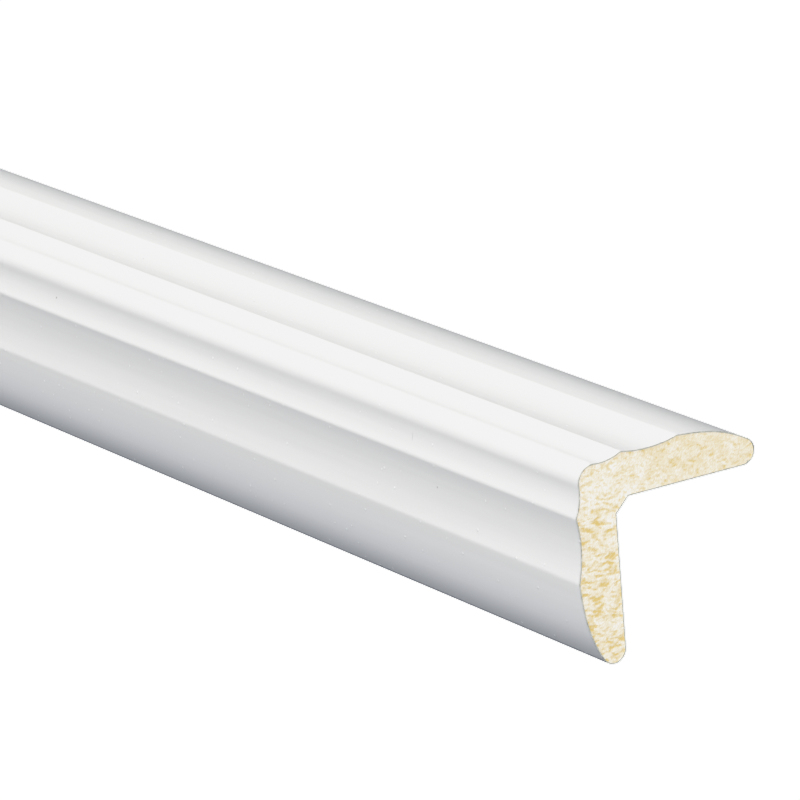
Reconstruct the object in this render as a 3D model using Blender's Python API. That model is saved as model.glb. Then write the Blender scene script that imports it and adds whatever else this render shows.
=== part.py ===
"""Outside corner moulding: one straight length with an L-shaped section, cut square at both ends.

It lies like a tent on the tips of its two legs, with its rounded nose up and its length along Y.
Metres, +Z up. The origin is on the surface that it lies on, under the middle of the piece.
"""

from math import atan2, ceil, cos, degrees, hypot, radians, sin, sqrt

import bmesh
import bpy

# Driving sizes. "Along" runs on the wall from its corner to a leg's tip, "out" runs off the wall.
LENGTH = 0.220              # of the piece, between its two cut ends
LEG_REACH = 0.02215         # along, from the wall's corner to the tip of a leg
NOSE_DEPTH = 0.00555        # out, from the wall to the outer face of the nose
NOSE_RADIUS = 0.0024        # of the round that joins the two legs over the corner
NOSE_UNDERCUT = 6.0         # degrees that the nose's round turns past the line of the leg
HOLLOW_WIDTH = 0.00415      # along, from the nose's round to the edge of the step
HOLLOW_RISE = 0.00076       # out, that the edge of the step stands above the foot of the nose
COVE_WIDTH = 0.00890        # along, from the step to the shoulder
COVE_RISE = 0.00020         # out, that the shoulder stands above the edge of the step
COVE_SAG = 0.00054          # out, that the cove dips below the line from step to shoulder
BULGE_FALL = 4.8            # degrees that the bulge leaves the shoulder at
TIP_RADIUS = 0.0019         # of the round that ends each leg
TIP_FALL = 29.5             # degrees that the bulge meets the tip's round at
CORNER_CHAMFER = 0.0020     # along, cut across the inner corner between the two wall faces
ARRIS_EASE = 0.00032        # run on each side over which the step and the shoulder are rounded

# The bulge is one free curve. Its two handles are shares of the straight line between its ends.
BULGE_START_HANDLE = 0.42
BULGE_END_HANDLE = 0.37

ROUND_STEP = 5.0            # degrees at most between neighbouring points of a round
CURVE_STEPS = 22            # straight pieces in the bulge, and in each long arc
EASE_STEPS = 6              # straight pieces in an eased edge

COAT_COLOUR = (0.86, 0.865, 0.87, 1.0)
COAT_ROUGHNESS = 0.38
CORE_COLOUR = (0.87, 0.79, 0.62, 1.0)
CORE_ROUGHNESS = 0.85


def round_points(centre, radius, start, end):
    """Points of a round from one direction to another, in degrees from the leg's own line."""
    steps = max(1, ceil(abs(end - start) / ROUND_STEP))
    turns = [radians(start + (end - start) * i / steps) for i in range(steps + 1)]
    return [(centre[0] + radius * cos(a), centre[1] + radius * sin(a)) for a in turns]


def arc_from_slope(start, end, slope):
    """Points of the circular arc that leaves start at this slope, in degrees, and reaches end."""
    chord = hypot(end[0] - start[0], end[1] - start[1])
    chord_slope = degrees(atan2(end[1] - start[1], end[0] - start[0]))
    half_turn = radians(chord_slope - slope)
    radius = chord / (2 * sin(half_turn))
    points = []
    for i in range(CURVE_STEPS + 1):
        turn = half_turn * i / CURVE_STEPS
        reach = 2 * radius * sin(turn)
        heading = radians(slope) + turn
        points.append((start[0] + reach * cos(heading), start[1] + reach * sin(heading)))
    return points


def sagging_slope(start, end, sag):
    """Slope in degrees at which an arc leaves start so that it dips by sag below its chord."""
    chord = hypot(end[0] - start[0], end[1] - start[1])
    chord_slope = degrees(atan2(end[1] - start[1], end[0] - start[0]))
    return chord_slope - degrees(2 * atan2(2 * sag, chord))


def bulge_points(start, end):
    """Points of the free curve from the shoulder to the tip's round, steeper towards the tip."""
    chord = hypot(end[0] - start[0], end[1] - start[1])
    leaves, meets = chord * BULGE_START_HANDLE, chord * BULGE_END_HANDLE
    handles = (
        start,
        (start[0] + leaves * cos(radians(BULGE_FALL)), start[1] - leaves * sin(radians(BULGE_FALL))),
        (end[0] - meets * cos(radians(TIP_FALL)), end[1] + meets * sin(radians(TIP_FALL))),
        end,
    )
    points = []
    for i in range(CURVE_STEPS + 1):
        s = i / CURVE_STEPS
        weights = ((1 - s) ** 3, 3 * s * (1 - s) ** 2, 3 * s * s * (1 - s), s ** 3)
        points.append(tuple(sum(w * p[axis] for w, p in zip(weights, handles)) for axis in (0, 1)))
    return points


def trimmed(points, cut):
    """The run of points with the stretch of this length taken off its end."""
    kept = list(points)
    while cut > 0:
        last, before = kept.pop(), kept[-1]
        stretch = hypot(last[0] - before[0], last[1] - before[1])
        if stretch > cut:
            share = cut / stretch
            kept.append(tuple(last[axis] + share * (before[axis] - last[axis]) for axis in (0, 1)))
        cut -= stretch
    return kept


def joined_with_ease(first, second):
    """Two runs that meet at an edge, joined with that edge rounded."""
    edge = first[-1]
    first = trimmed(first, ARRIS_EASE)
    second = trimmed(second[::-1], ARRIS_EASE)[::-1]
    a, b = first[-1], second[0]
    ease = []
    for i in range(1, EASE_STEPS):
        s = i / EASE_STEPS
        weights = ((1 - s) ** 2, 2 * s * (1 - s), s * s)
        ease.append(tuple(sum(w * p[axis] for w, p in zip(weights, (a, edge, b))) for axis in (0, 1)))
    return first + ease + second


def leg_outline():
    """Points (along, out) of one leg, from the crown of the nose round its tip to the inner corner."""
    nose_centre = (NOSE_RADIUS - NOSE_DEPTH, NOSE_DEPTH - NOSE_RADIUS)
    nose = round_points(nose_centre, NOSE_RADIUS, 135, 90 - NOSE_UNDERCUT)
    hollow_start = nose[-1]
    step_edge = (hollow_start[0] + HOLLOW_WIDTH, hollow_start[1] + HOLLOW_RISE)
    shoulder = (step_edge[0] + COVE_WIDTH, step_edge[1] + COVE_RISE)
    tip_centre = (LEG_REACH - TIP_RADIUS, TIP_RADIUS)
    tip_start = 90 - TIP_FALL
    outer_tip = round_points(tip_centre, TIP_RADIUS, tip_start, -45)
    inner_tip = round_points(tip_centre, TIP_RADIUS, -45, -90)

    hollow = arc_from_slope(hollow_start, step_edge, -NOSE_UNDERCUT)
    cove = arc_from_slope(step_edge, shoulder, sagging_slope(step_edge, shoulder, COVE_SAG))
    bulge = bulge_points(shoulder, outer_tip[0])

    face = joined_with_ease(joined_with_ease(hollow, cove), bulge)
    return nose[:-1] + face + outer_tip[1:] + inner_tip[1:] + [(CORNER_CHAMFER, 0.0)]


def section():
    """Points (x, z) of the whole section in order round it, standing on the tips of its legs."""
    leg = leg_outline()
    right = [((along + out) / sqrt(2), (out - along) / sqrt(2)) for along, out in leg]
    left = [(-x, z) for x, z in right[:0:-1]]
    lowest = min(z for _, z in right)
    return [(x, z - lowest) for x, z in right + left]


def finish(name, colour, roughness):
    """A plain finish with this colour and roughness."""
    material = bpy.data.materials.new(name)
    material.use_nodes = True
    shader = material.node_tree.nodes["Principled BSDF"]
    shader.inputs["Base Color"].default_value = colour
    shader.inputs["Roughness"].default_value = roughness
    shader.inputs["Metallic"].default_value = 0.0
    material.diffuse_color = colour
    return material


def corner_moulding():
    """The length of moulding: its section as a face, extruded from one cut end to the other."""
    bm = bmesh.new()
    near_end = bm.faces.new([bm.verts.new((x, -LENGTH / 2, z)) for x, z in section()])
    grown = bmesh.ops.extrude_face_region(bm, geom=[near_end])
    far_verts = [item for item in grown["geom"] if isinstance(item, bmesh.types.BMVert)]
    bmesh.ops.translate(bm, verts=far_verts, vec=(0, LENGTH, 0))
    bmesh.ops.recalc_face_normals(bm, faces=bm.faces)
    for face in bm.faces:
        face.material_index = 1 if abs(face.normal.y) > 0.5 else 0

    mesh = bpy.data.meshes.new("corner_moulding")
    bm.to_mesh(mesh)
    bm.free()
    mesh.shade_smooth()
    mesh.set_sharp_from_angle(angle=radians(25))
    mesh.materials.append(finish("white_coat", COAT_COLOUR, COAT_ROUGHNESS))
    mesh.materials.append(finish("fibre_core", CORE_COLOUR, CORE_ROUGHNESS))
    moulding = bpy.data.objects.new("corner_moulding", mesh)
    bpy.context.scene.collection.objects.link(moulding)
    return moulding


for old in list(bpy.data.objects):
    bpy.data.objects.remove(old)
corner_moulding()
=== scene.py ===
"""Looks of a length of outside corner moulding: a satin white coat over a core of pressed wood fibre."""

from math import cos, radians, sin

import bmesh
import bpy
from mathutils import Matrix, Vector, noise


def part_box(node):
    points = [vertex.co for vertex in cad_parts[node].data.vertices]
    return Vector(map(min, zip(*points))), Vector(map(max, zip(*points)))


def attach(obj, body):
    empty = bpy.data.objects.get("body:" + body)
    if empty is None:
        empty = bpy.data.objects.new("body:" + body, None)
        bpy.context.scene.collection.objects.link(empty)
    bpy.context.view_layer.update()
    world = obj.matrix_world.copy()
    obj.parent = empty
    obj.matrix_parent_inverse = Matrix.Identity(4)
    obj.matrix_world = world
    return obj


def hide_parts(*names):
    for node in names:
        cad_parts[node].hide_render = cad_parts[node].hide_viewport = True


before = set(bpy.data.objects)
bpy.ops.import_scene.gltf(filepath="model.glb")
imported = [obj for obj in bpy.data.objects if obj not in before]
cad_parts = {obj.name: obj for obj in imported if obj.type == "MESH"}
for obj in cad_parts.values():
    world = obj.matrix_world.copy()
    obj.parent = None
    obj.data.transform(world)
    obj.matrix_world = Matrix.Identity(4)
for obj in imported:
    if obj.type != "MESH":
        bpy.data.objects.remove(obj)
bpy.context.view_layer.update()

# The moulding is one length of pressed wood fibre, run through a moulding machine to its L-shaped
# section, coated white all round and sawn square. It is glued or pinned over a wall's outside corner.
COAT_THICKNESS = 0.00014     # of the white coat, seen as a thin line round a sawn end
CORE_LIP = 0.00002           # width of the little slope from the coat's edge down to the core
CORE_SINK = 0.00003          # that the softer core lies below the edge of the coat
CELL_ALONG_FIBRE = 0.00020   # spacing of the core's mesh on a sawn end
CELL_ACROSS_FIBRE = 0.00014
ARRIS_BANDS = (0.0002, 0.0005, 0.0012)     # cuts round the body, measured from each sawn end
END_PART = 0.9               # least lengthwise part of the normal of a sawn end
WALL_PART = 0.69             # least downward part of the normal of a face that lies on the wall
MERGE_DISTANCE = 0.000001
FLAT_ANGLE = radians(0.05)
SMOOTH_ANGLE = radians(25)

low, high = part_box("corner_moulding")
middle = (low + high) / 2
along_right_leg = Vector((1, 0, -1)).normalized()
along_left_leg = Vector((-1, 0, -1)).normalized()

bpy.ops.object.select_all(action="DESELECT")
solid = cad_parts["corner_moulding"]
body = bpy.data.objects.new("coated_moulding", solid.data.copy())
bpy.context.scene.collection.objects.link(body)
bpy.context.view_layer.objects.active = body
body.select_set(True)

body.data.materials.clear()
OUTER_COAT, WALL_COAT, COAT_EDGE, CORE = range(4)
for name in ("outer_coat", "wall_side_coat", "sawn_coat_edge", "fibre_core"):
    body.data.materials.append(bpy.data.materials.new(name))


def pick_faces(test):
    """Selects, in edit mode, the faces that pass this test and nothing else."""
    bpy.ops.mesh.select_all(action="DESELECT")
    editing = bmesh.from_edit_mesh(body.data)
    for face in editing.faces:
        face.select_set(test(face))
    bmesh.update_edit_mesh(body.data)


def give_picked_faces(finish):
    """Gives the selected faces the material in this slot."""
    body.active_material_index = finish
    bpy.ops.object.material_slot_assign()


def lies_on_wall(face):
    """Whether a face is on the side of the moulding that looks at the wall."""
    return face.normal.z < -WALL_PART and face.normal.x * face.calc_center_median().x <= 0


bpy.ops.mesh.customdata_custom_splitnormals_clear()
bpy.ops.object.mode_set(mode="EDIT")
bpy.ops.mesh.select_mode(type="FACE")
bpy.ops.mesh.select_all(action="SELECT")
bpy.ops.mesh.remove_doubles(threshold=MERGE_DISTANCE)
bpy.ops.mesh.dissolve_limited(angle_limit=FLAT_ANGLE)
give_picked_faces(OUTER_COAT)
pick_faces(lies_on_wall)
give_picked_faces(WALL_COAT)

# A sawn end is a thin ring, the cut edge of the coat, with the core a hair below it.
pick_faces(lambda face: abs(face.normal.y) > END_PART)
give_picked_faces(COAT_EDGE)
bpy.ops.mesh.inset(thickness=COAT_THICKNESS, depth=0)
bpy.ops.mesh.inset(thickness=CORE_LIP, depth=-CORE_SINK)
give_picked_faces(CORE)

# Narrow bands round the body beside each end keep a chip in the arris short, and the rest straight.
for band in ARRIS_BANDS:
    for place in (low.y + band, high.y - band):
        pick_faces(lambda face: abs(face.normal.y) < END_PART)
        bpy.ops.mesh.bisect(plane_co=(0, place, 0), plane_no=(0, 1, 0))

# The cores are cut into small cells along and across the fibres, which lie along the right leg.
pick_faces(lambda face: face.material_index == CORE)
bpy.ops.mesh.hide(unselected=True)
for direction, cell in ((along_right_leg, CELL_ALONG_FIBRE), (along_left_leg, CELL_ACROSS_FIBRE)):
    cuts = int((high.xz - low.xz).length / 2 / cell)
    for step in range(-cuts, cuts + 1):
        bpy.ops.mesh.select_all(action="SELECT")
        bpy.ops.mesh.bisect(plane_co=middle + direction * cell * step, plane_no=direction)
bpy.ops.mesh.reveal(select=False)
bpy.ops.object.mode_set(mode="OBJECT")

# The core is pale fibre with darker, resin-rich bundles in it. A bundle is longer than it is thick,
# lies along the right leg on both sawn ends, and is torn out a little by the saw. The left leg has
# the larger and darker bundles, and the corner between the legs has the palest fibre.
LARGE_BUNDLE = (0.00105, 0.00036)    # length and thickness
SMALL_BUNDLE = (0.00058, 0.00028)
LARGE_DARKNESS = 0.66        # that a bundle adds to the fibre on the left leg
SMALL_DARKNESS = 0.50
LARGE_FADE = 0.85            # share of this that is gone on the right leg
SMALL_FADE = 0.30
BUNDLE_SWAY = 1.5            # that a bundle winds aside, in thicknesses
SWAY_PACE = (0.5, 0.3)       # of the winding, over a bundle's length and over its thickness
TONE_PACE = 0.6              # of the change from one bundle's tone to the next
BUNDLE_START = 0.07          # level of the noise where a bundle begins
BUNDLE_RISE = 0.30           # from there to the level of its middle
BUNDLE_TONE = 0.75           # of an average bundle, where others are paler or darker
PALE_FIBRE = 0.24            # darkness of the plain fibre at the corner, and out on the right leg
CREAM_FIBRE = 0.46
LEG_CONTRAST = 1.6           # how quickly the fibre changes from the corner out along a leg
CLOUD_SIZE = 0.0012          # of the wide, faint patches in the fibre
CLOUD_DARKNESS = 0.22
TEAR_DEPTH = 0.00009         # of a pit where a bundle is torn out
FUZZ_SIZE = 0.00024          # of the finer unevenness all over a sawn end
FUZZ_DEPTH = 0.00003
END_SEED = {-1: 3.7, 1: 41.3}      # of the pattern on the near and on the far end


def bundles_at(place, size, seed):
    """How much of a bundle of this length and thickness there is at a place, 0 for plain fibre."""
    along = place.dot(along_right_leg) / size[0]
    across = place.dot(along_left_leg) / size[1]
    sway = noise.noise(Vector((along * SWAY_PACE[0], across * SWAY_PACE[1], seed + 20)))
    level = noise.noise(Vector((along, across + sway * BUNDLE_SWAY, seed)))
    tone = BUNDLE_TONE + noise.noise(Vector((along * TONE_PACE, across * TONE_PACE, seed + 5)))
    return tone * min(1.0, max(0.0, (level - BUNDLE_START) / BUNDLE_RISE))


def fibre_darkness(place, end):
    """How dark the fibre is at a place on a sawn end, from 0 for the palest to 1."""
    seed = END_SEED[end]
    side = place.x / high.x
    to_right = min(1.0, max(0.0, 0.5 + LEG_CONTRAST * side))
    to_cream = min(1.0, abs(side) * (LEG_CONTRAST + side))
    plain = PALE_FIBRE + (CREAM_FIBRE - PALE_FIBRE) * to_cream
    cloud = CLOUD_DARKNESS * noise.noise(Vector((place.x, place.z, seed)) / CLOUD_SIZE)
    large = LARGE_DARKNESS * (1 - LARGE_FADE * to_right) * bundles_at(place, LARGE_BUNDLE, seed)
    small = SMALL_DARKNESS * (1 - SMALL_FADE * to_right) * bundles_at(place, SMALL_BUNDLE, seed + 9)
    return min(1.0, max(0.0, plain + cloud + large + small))


fleck = body.data.attributes.new("fleck", "FLOAT", "POINT")
inside, rim = set(), set()
for polygon in body.data.polygons:
    (inside if polygon.material_index == CORE else rim).update(polygon.vertices)
for index in inside:
    point = body.data.vertices[index].co
    end = 1 if point.y > 0 else -1
    darkness = fibre_darkness(point, end)
    fleck.data[index].value = darkness
    if index not in rim:
        fuzz = 0.5 + 0.5 * noise.noise(point / FUZZ_SIZE)
        point.y -= end * (TEAR_DEPTH * max(0.0, darkness - CREAM_FIBRE) + FUZZ_DEPTH * fuzz)

# The near end is chipped at its arris, on the wall side of the right leg's tip.
CHIP_PLACE = Vector((0.0151, low.y, 0.0003))
CHIP_WAY = Vector((0.34, 0.20, 0.94)).normalized()
CHIP_RADIUS = 0.00024
CHIP_DEPTH = 0.00024

for vertex in body.data.vertices:
    nearness = 1 - (vertex.co - CHIP_PLACE).length / CHIP_RADIUS
    if nearness > 0:
        vertex.co += CHIP_WAY * CHIP_DEPTH * nearness

bpy.ops.object.select_all(action="DESELECT")
body.select_set(True)
bpy.ops.object.shade_smooth_by_angle(angle=SMOOTH_ANGLE)


def add_node(tree, kind, inputs=(), **settings):
    """Adds a shader node, sets it up, and gives each input a value or another node's output."""
    made = tree.nodes.new("ShaderNode" + kind)
    for name, value in settings.items():
        setattr(made, name, value)
    for name, value in dict(inputs).items():
        if isinstance(value, bpy.types.NodeSocket):
            tree.links.new(value, made.inputs[name])
        else:
            made.inputs[name].default_value = value
    return made


def arithmetic(tree, operation, first, second=0.0, clamp=False):
    """The output of one arithmetic node."""
    return add_node(tree, "Math", {0: first, 1: second}, operation=operation, use_clamp=clamp).outputs[0]


def blend(tree, share, first, second):
    """The colour that is this share of the way from the first colour to the second."""
    mix = tree.nodes.new("ShaderNodeMix")
    mix.data_type = "RGBA"
    for place, value in ((0, share), (6, first), (7, second)):
        if isinstance(value, bpy.types.NodeSocket):
            tree.links.new(value, mix.inputs[place])
        else:
            mix.inputs[place].default_value = value
    return mix.outputs[2]


def ramp(tree, value, *stops):
    """The colour that these (place, colour) stops give for a value from 0 to 1."""
    made = tree.nodes.new("ShaderNodeValToRGB")
    tree.links.new(value, made.inputs[0])
    elements = made.color_ramp.elements
    while len(elements) < len(stops):
        elements.new(0.5)
    for element, (place, colour) in zip(elements, stops):
        element.position = place
        element.color = colour
    return made.outputs[0]


def open_finish(index):
    """The node tree, Principled shader and Object coordinates of one of the body's materials."""
    material = body.data.materials[index]
    material.use_nodes = True
    tree = material.node_tree
    return tree, tree.nodes["Principled BSDF"], add_node(tree, "TexCoord").outputs["Object"]


def effect(name, inputs, outputs):
    """A new shader node group with these named inputs and outputs, and its two end nodes."""
    group = bpy.data.node_groups.new(name, "ShaderNodeTree")
    for socket, kind in inputs:
        group.interface.new_socket(socket, in_out="INPUT", socket_type="NodeSocket" + kind)
    for socket, kind in outputs:
        group.interface.new_socket(socket, in_out="OUTPUT", socket_type="NodeSocket" + kind)
    return group, group.nodes.new("NodeGroupInput").outputs, group.nodes.new("NodeGroupOutput").inputs


def use_effect(tree, group, values):
    """The outputs of a shader node group placed in a material with its own values."""
    made = tree.nodes.new("ShaderNodeGroup")
    made.node_tree = group
    for name, value in values.items():
        if isinstance(value, bpy.types.NodeSocket):
            tree.links.new(value, made.inputs[name])
        else:
            made.inputs[name].default_value = value
    return made.outputs


# Grains are what dust and grit cured into a coat leave: small round spots, far apart.
grit, given, handed = effect(
    "grit_in_coat",
    [("Place", "Vector"), ("Spacing", "Float"), ("Radius", "Float"), ("Share", "Float")],
    [("Grain", "Float")],
)
cells = add_node(grit, "TexVoronoi", {
    "Vector": given["Place"],
    "Scale": arithmetic(grit, "DIVIDE", 1.0, given["Spacing"]),
})
away = arithmetic(grit, "MULTIPLY", cells.outputs["Distance"], given["Spacing"])
spot = add_node(grit, "MapRange", {
    "Value": away,
    "From Min": given["Radius"],
    "From Max": arithmetic(grit, "MULTIPLY", given["Radius"], 0.3),
}, interpolation_type="SMOOTHSTEP")
luck = add_node(grit, "SeparateColor", {"Color": cells.outputs["Color"]}).outputs[0]
kept = arithmetic(grit, "LESS_THAN", luck, given["Share"])
grit.links.new(arithmetic(grit, "MULTIPLY", spot.outputs[0], kept), handed["Grain"])

# Streaks are the faint lengthwise lines that the moulding machine and the coating roller leave.
machining, given, handed = effect(
    "machine_streaks",
    [("Place", "Vector"), ("Width", "Float"), ("Stretch", "Float")],
    [("Streak", "Float")],
)
squeezed = add_node(machining, "Mapping", {
    "Vector": given["Place"],
    "Scale": add_node(machining, "CombineXYZ", {
        "X": 1.0,
        "Y": arithmetic(machining, "DIVIDE", 1.0, given["Stretch"]),
        "Z": 1.0,
    }).outputs[0],
})
lines = add_node(machining, "TexNoise", {
    "Vector": squeezed.outputs[0],
    "Scale": arithmetic(machining, "DIVIDE", 1.0, given["Width"]),
    "Detail": 3.0,
})
machining.links.new(lines.outputs["Fac"], handed["Streak"])

# A mark is a soft patch round one place: a scuff across the coat, a dark patch at a tip, or a band of
# painted shade towards a tip.
marks, given, handed = effect(
    "mark_on_coat",
    [("Place", "Vector"), ("Centre", "Vector"), ("Turn", "Vector"), ("Reach", "Vector")],
    [("Mark", "Float")],
)
local = add_node(marks, "Mapping", {
    "Vector": given["Place"],
    "Location": given["Centre"],
    "Rotation": given["Turn"],
    "Scale": given["Reach"],
}, vector_type="TEXTURE")
away = add_node(marks, "VectorMath", {0: local.outputs[0]}, operation="LENGTH").outputs["Value"]
patch = add_node(marks, "MapRange", {"Value": away, "From Min": 1.0, "From Max": 0.3})
marks.links.new(patch.outputs[0], handed["Mark"])

# The outer coat is a thin satin primer with pale nibs and a few dark specks in it. Painted shade greys
# it towards the tips, with painted cool light and shade on the left and a painted dark shade line along
# both, and there is a dark patch on the right tip at the near end. A faint scuff crosses the left leg's
# hollow, and sawing has rubbed dust in beside the two ends.
COAT_WHITE = (0.874, 0.870, 0.864, 1)
COAT_SHADE = (0.847, 0.844, 0.838, 1)
# Painted cool light and painted shade towards the tips, and a painted dark shade line along each tip:
PAINTED_COOL_LIGHT = (0.895, 0.899, 0.918, 1)     # towards the left tip
PAINTED_COOL_SHADE = (0.735, 0.740, 0.755, 1)
PAINTED_SHADE_GREY = (0.730, 0.737, 0.730, 1)     # towards the right tip
PAINTED_TIP_SHADE_LINE = (0.48, 0.49, 0.54, 1)
NIB_WHITE = (0.97, 0.97, 0.97, 1)
SPECK_BROWN = (0.42, 0.40, 0.37, 1)
SCUFF_GREY = (0.70, 0.70, 0.70, 1)
SAW_DUST = (0.50, 0.49, 0.43, 1)
PATCH_DARK = (0.20, 0.21, 0.19, 1)
LEFT_TIP = (low.x, 0, 0.0014)
RIGHT_TIP = (high.x, 0, 0.0014)
ENDLESS = 10.0               # reach of a band that runs the whole length
PAINTED_TIP_SHADING = (                # place, reach and colour, the widest of each tip first
    (LEFT_TIP, 0.0115, PAINTED_COOL_LIGHT), (LEFT_TIP, 0.0053, PAINTED_COOL_SHADE), (LEFT_TIP, 0.0011, PAINTED_TIP_SHADE_LINE),
    (RIGHT_TIP, 0.0115, PAINTED_SHADE_GREY), (RIGHT_TIP, 0.0011, PAINTED_TIP_SHADE_LINE),
)
SCUFF = {
    "Centre": (-0.0032, -0.0692, 0.0195),
    "Turn": (0, radians(-45), 0),
    "Reach": (0.0008, 0.00012, 0.001),
}
# A dark patch on the right tip at the near end, on the coat and on its sawn edge.
RIGHT_TIP_PATCH = {
    "Centre": (0.0174, low.y, 0.0008),
    "Turn": (0, 0, 0),
    "Reach": (0.0009, 0.0005, 0.0009),
}
NIBS = {"Spacing": 0.0021, "Radius": 0.00025, "Share": 0.8}
SPECKS = {"Spacing": 0.0075, "Radius": 0.00022, "Share": 0.6}
DUST_REACH = 0.0003          # from a sawn end
PEEL_SHARE = 0.07            # height of the coat's fine unevenness, as a share of a nib's

tree, coat, place = open_finish(OUTER_COAT)
streak = use_effect(tree, machining, {"Place": place, "Width": 0.0012, "Stretch": 40.0})["Streak"]
base = ramp(tree, streak, (0.3, COAT_SHADE), (0.7, COAT_WHITE))
# Painted shade: bands grey the coat towards each tip, with painted cool light and shade on the left.
for tip, reach, colour in PAINTED_TIP_SHADING:
    extent = {"Centre": tip, "Turn": (0, 0, 0), "Reach": (reach, ENDLESS, reach)}
    base = blend(tree, use_effect(tree, marks, {"Place": place, **extent})["Mark"], base, colour)
nibs = use_effect(tree, grit, {"Place": place, **NIBS})["Grain"]
specks = use_effect(tree, grit, {"Place": place, **SPECKS})["Grain"]
scuff = use_effect(tree, marks, {"Place": place, **SCUFF})["Mark"]
dark_patch = use_effect(tree, marks, {"Place": place, **RIGHT_TIP_PATCH})["Mark"]
lengthwise = add_node(tree, "SeparateXYZ", {0: place}).outputs["Y"]
to_end = arithmetic(tree, "SUBTRACT", high.y, arithmetic(tree, "ABSOLUTE", lengthwise))
rubbed = add_node(tree, "MapRange", {"Value": to_end, "From Min": DUST_REACH, "From Max": 0.0})
patchy = add_node(tree, "TexNoise", {"Vector": place, "Scale": 1500.0}).outputs["Fac"]
dust = arithmetic(tree, "MULTIPLY", rubbed.outputs[0], patchy)
speckled = blend(tree, specks, blend(tree, nibs, base, NIB_WHITE), SPECK_BROWN)
scuffed = blend(tree, scuff, speckled, SCUFF_GREY)
tree.links.new(blend(tree, dark_patch, blend(tree, dust, scuffed, SAW_DUST), PATCH_DARK), coat.inputs["Base Color"])
coat.inputs["Roughness"].default_value = 0.48
peel = add_node(tree, "TexNoise", {"Vector": place, "Scale": 1400.0, "Detail": 2.0}).outputs["Fac"]
height = arithmetic(tree, "ADD", nibs, arithmetic(tree, "MULTIPLY", peel, PEEL_SHARE))
bump = add_node(tree, "Bump", {"Height": height, "Strength": 1.0, "Distance": 0.00006})
tree.links.new(bump.outputs[0], coat.inputs["Normal"])

# The coat on the wall side is thinner and duller, over plainer machine marks. Its warm off-white is partly
# fibre showing through the thin coat and partly painted warmth that offsets the cool floor bounce in the
# hollow.
WALL_COAT_WHITE = (0.83, 0.80, 0.74, 1)
WALL_COAT_SHADE = (0.74, 0.69, 0.59, 1)
WALL_SPECKS = {"Spacing": 0.0022, "Radius": 0.00020, "Share": 0.6}

tree, wall_side, place = open_finish(WALL_COAT)
streak = use_effect(tree, machining, {"Place": place, "Width": 0.0007, "Stretch": 60.0})["Streak"]
specks = use_effect(tree, grit, {"Place": place, **WALL_SPECKS})["Grain"]
base = ramp(tree, streak, (0.35, WALL_COAT_SHADE), (0.65, WALL_COAT_WHITE))
tree.links.new(blend(tree, specks, base, SPECK_BROWN), wall_side.inputs["Base Color"])
wall_side.inputs["Roughness"].default_value = 0.6
bump = add_node(tree, "Bump", {"Height": streak, "Strength": 0.5, "Distance": 0.00008})
tree.links.new(bump.outputs[0], wall_side.inputs["Normal"])

# The sawn edge of the coat is a mottled dark olive grey, a thin dark line round each sawn end, darker at
# the right tip's patch.
EDGE_DARK = (0.36, 0.36, 0.31, 1)
EDGE_PALE = (0.60, 0.60, 0.53, 1)

tree, edge, place = open_finish(COAT_EDGE)
edge_mottle = add_node(tree, "TexNoise", {"Vector": place, "Scale": 1800.0, "Detail": 2.0}).outputs["Fac"]
dark_patch = use_effect(tree, marks, {"Place": place, **RIGHT_TIP_PATCH})["Mark"]
edge_grey = ramp(tree, edge_mottle, (0.35, EDGE_DARK), (0.7, EDGE_PALE))
tree.links.new(blend(tree, dark_patch, edge_grey, PATCH_DARK), edge.inputs["Base Color"])
edge.inputs["Roughness"].default_value = 0.7

# The core runs from near-white fibre through cream to the ochre of a bundle.
FIBRE_WHITE = (0.955, 0.905, 0.845, 1)
FIBRE_CREAM = (0.834, 0.740, 0.581, 1)
FIBRE_STRAW = (0.768, 0.655, 0.409, 1)
FIBRE_OCHRE = (0.725, 0.540, 0.200, 1)
THREAD_CONTRAST = 0.24       # darkness that the finest threads add or take away

tree, core, place = open_finish(CORE)
turned = add_node(tree, "Mapping", {
    "Vector": place,
    "Rotation": (0, radians(-45), 0),
    "Scale": (1.0, 1.0, 2.2),
})
thread = add_node(tree, "TexNoise", {"Vector": turned.outputs[0], "Scale": 2600.0, "Detail": 3.0})
bundles = add_node(tree, "Attribute", attribute_name="fleck").outputs["Fac"]
threads = add_node(tree, "MapRange", {
    "Value": thread.outputs["Fac"],
    "From Min": 0.3,
    "From Max": 0.7,
    "To Min": -THREAD_CONTRAST,
    "To Max": THREAD_CONTRAST,
}).outputs[0]
fibre = ramp(
    tree, arithmetic(tree, "ADD", bundles, threads, clamp=True),
    (0.10, FIBRE_WHITE), (0.45, FIBRE_CREAM), (0.75, FIBRE_STRAW), (1.00, FIBRE_OCHRE),
)
tree.links.new(fibre, core.inputs["Base Color"])
core.inputs["Roughness"].default_value = 0.9

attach(body, "root")
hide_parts("corner_moulding")

# The floor is a wide white paper sheet. To the camera it is as bright as an overlit studio sweep,
# while it throws back little light, and cool, so that the lower edges of the moulding stay dark.
FLOOR_SIZE = 24.0
FLOOR_BOUNCE = (0.04, 0.07, 0.115, 1)
SWEEP_LEVEL = 1.40           # scene brightness of the sweep, which the picture shows as pure white
SWEEP_GLOW = 1.39
SWEEP_MATTE = (0.07, 0.07, 0.07, 1)

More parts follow.
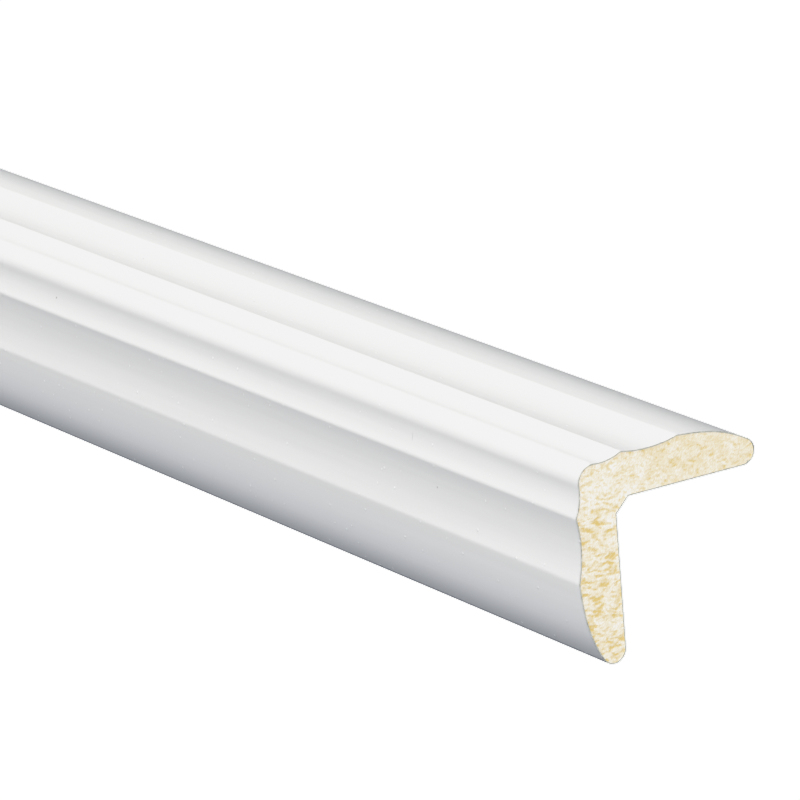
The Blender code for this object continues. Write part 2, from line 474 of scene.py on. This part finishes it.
bpy.ops.object.select_all(action="DESELECT")
bpy.ops.mesh.primitive_plane_add(size=FLOOR_SIZE, location=(0, 0, low.z))
floor = bpy.context.object
floor.name = "studio_floor"
bpy.ops.object.transform_apply(location=True, rotation=False, scale=False)
paper = bpy.data.materials.new("white_paper")
floor.data.materials.append(paper)
paper.use_nodes = True
tree = paper.node_tree
sheet = tree.nodes["Principled BSDF"]
sheet.inputs["Base Color"].default_value = FLOOR_BOUNCE
sheet.inputs["Roughness"].default_value = 1.0
glow = add_node(tree, "Emission", {"Color": (1, 1, 1, 1), "Strength": SWEEP_GLOW})
matte = add_node(tree, "BsdfDiffuse", {"Color": SWEEP_MATTE})
sweep = add_node(tree, "AddShader", {0: glow.outputs[0], 1: matte.outputs[0]})
seen = add_node(tree, "LightPath").outputs["Is Camera Ray"]
either = add_node(tree, "MixShader", {0: seen, 1: sheet.outputs[0], 2: sweep.outputs[0]})
tree.links.new(either.outputs[0], tree.nodes["Material Output"].inputs["Surface"])

# Soft studio light comes from large square panels, all far enough away to light the length evenly.
# The two that face the sawn ends are kept out of the coat's reflections, which they would burn out.
PANEL_DISTANCE = 3.0
PANEL_SIZE = 1.4
PANEL_LOWEST = 0.72          # height of a panel's middle, which keeps its lower edge off the floor
NEUTRAL = (1.0, 1.0, 1.0)
WARM = (1.0, 0.97, 0.93)


def add_panel(name, turn, tilt, power, colour, gleams):
    """A panel that is turned, in degrees, from overhead towards +X and then tilted towards -Y."""
    light = bpy.data.lights.new(name, "AREA")
    light.shape = "SQUARE"
    light.size = PANEL_SIZE
    light.energy = power
    light.color = colour
    turn, tilt = radians(turn), radians(tilt)
    way = Vector((sin(turn) * cos(tilt), -sin(tilt), cos(turn) * cos(tilt)))
    panel = bpy.data.objects.new(name, light)
    bpy.context.scene.collection.objects.link(panel)
    panel.location = way * PANEL_DISTANCE
    panel.location.z = max(panel.location.z, PANEL_LOWEST)
    panel.rotation_euler = way.to_track_quat("Z", "Y").to_euler()
    panel.visible_glossy = gleams


add_panel("panel_above", -8, 0, 77, NEUTRAL, True)
add_panel("panel_right", 62, -35, 45, WARM, True)
add_panel("panel_front", 0, 79, 92, NEUTRAL, False)
add_panel("panel_behind", 20, -78, 26, NEUTRAL, False)

world = bpy.data.worlds.new("studio_air")
bpy.context.scene.world = world
world.use_nodes = True
tree = world.node_tree
air = tree.nodes["Background"]
air.inputs["Color"].default_value = (1, 1, 1, 1)
air.inputs["Strength"].default_value = 0.01
seen = add_node(tree, "LightPath").outputs["Is Camera Ray"]
white = add_node(tree, "Background", {"Color": (1, 1, 1, 1), "Strength": SWEEP_LEVEL})
either = add_node(tree, "MixShader", {0: seen, 1: air.outputs[0], 2: white.outputs[0]})
tree.links.new(either.outputs[0], tree.nodes["World Output"].inputs["Surface"])

# The camera's response is straight up to the highlights and holds those at a light grey, so that the
# brightest stretches of the coat flatten into each other and only the overlit sweep turns pure white.
RESPONSE = ((0.74, 0.74), (0.80, 0.80), (0.92, 0.875), (1.05, 0.896), (1.30, 0.897))

view = bpy.context.scene.view_settings
view.view_transform = "Standard"
view.use_curve_mapping = True
view.curve_mapping.white_level = (SWEEP_LEVEL, SWEEP_LEVEL, SWEEP_LEVEL)
shared = view.curve_mapping.curves[3]
for level, shown in RESPONSE:
    shared.points.new(level / SWEEP_LEVEL, shown)
for point in shared.points:
    point.handle_type = "AUTO_CLAMPED"
view.curve_mapping.update()

# The camera looks down on the nose from the near left, rolled so that the right leg is level.
CAMERA_PLACE = Vector((-0.12567, -0.78320, 0.49595))
LOOKS_ALONG = Vector((0.144846, 0.825683, -0.545222))
PICTURE_RIGHT = Vector((0.543083, -0.526955, -0.653742))
LENS = 289.70
SENSOR_WIDTH = 36.0

camera = bpy.data.objects.new("camera", bpy.data.cameras.new("camera"))
bpy.context.scene.collection.objects.link(camera)
camera.data.lens = LENS
camera.data.sensor_width = SENSOR_WIDTH
axes = Matrix((PICTURE_RIGHT, PICTURE_RIGHT.cross(LOOKS_ALONG), -LOOKS_ALONG)).transposed()
camera.matrix_world = Matrix.Translation(CAMERA_PLACE) @ axes.to_4x4()
bpy.context.scene.camera = camera
